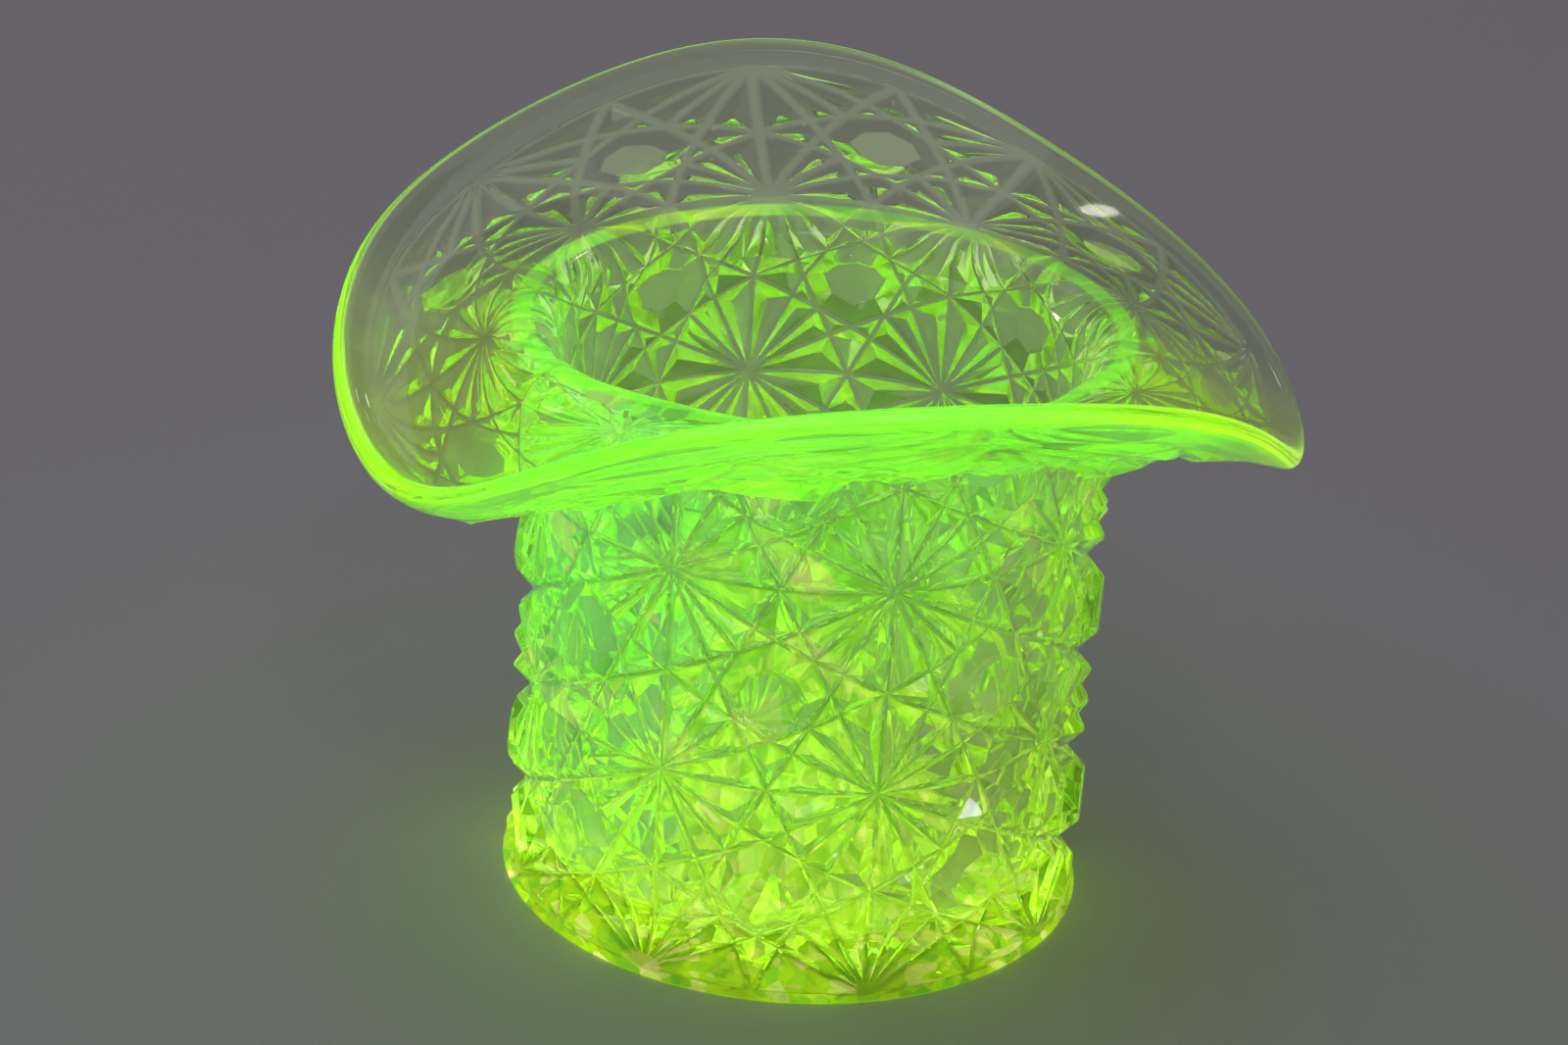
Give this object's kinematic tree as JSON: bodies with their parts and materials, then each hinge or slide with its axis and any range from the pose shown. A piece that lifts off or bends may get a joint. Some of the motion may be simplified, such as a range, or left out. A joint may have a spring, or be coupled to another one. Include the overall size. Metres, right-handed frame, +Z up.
{
  "type": "glass hat",
  "caption": "Small pressed glass top hat standing on its crown, mouth up, with a brim rolled up front and back and a daisy and button relief.",
  "frame": {"origin": "middle of the flat face that the hat stands on, on the crown's axis", "axes": "+Z up through the mouth; -Y is the front, the side seen in the picture; +X to the right"},
  "size_m": [0.1181, 0.1191, 0.0889],
  "materials": {
    "base_glass": "clear yellow-green pressed glass, fire-polished, glowing green under ultraviolet light",
    "crown_glass": "clear yellow-green pressed glass, fire-polished, glowing green under ultraviolet light",
    "relief_glass": "clear yellow-green pressed glass, fire-polished, glowing green under ultraviolet light",
    "mouth_glass": "clear yellow-green pressed glass, fire-polished, glowing green under ultraviolet light",
    "brim_glass": "clear yellow-green pressed glass, fire-polished, glowing green under ultraviolet light",
    "rim_glass": "clear yellow-green pressed glass, fire-polished, glowing green under ultraviolet light"
  },
  "bodies": {
    "root": {"base_plate": "base_glass", "crown_wall": "crown_glass", "mouth_flare": "mouth_glass", "brim_skirt": "brim_glass", "brim_rim": "rim_glass", "brim_buttons": "brim_glass", "daisy_row_1": "relief_glass", "daisy_row_2": "relief_glass", "daisy_row_3": "relief_glass", "button_row_1": "relief_glass", "button_row_2": "relief_glass", "button_row_3": "relief_glass"}
  },
  "joints": []
}
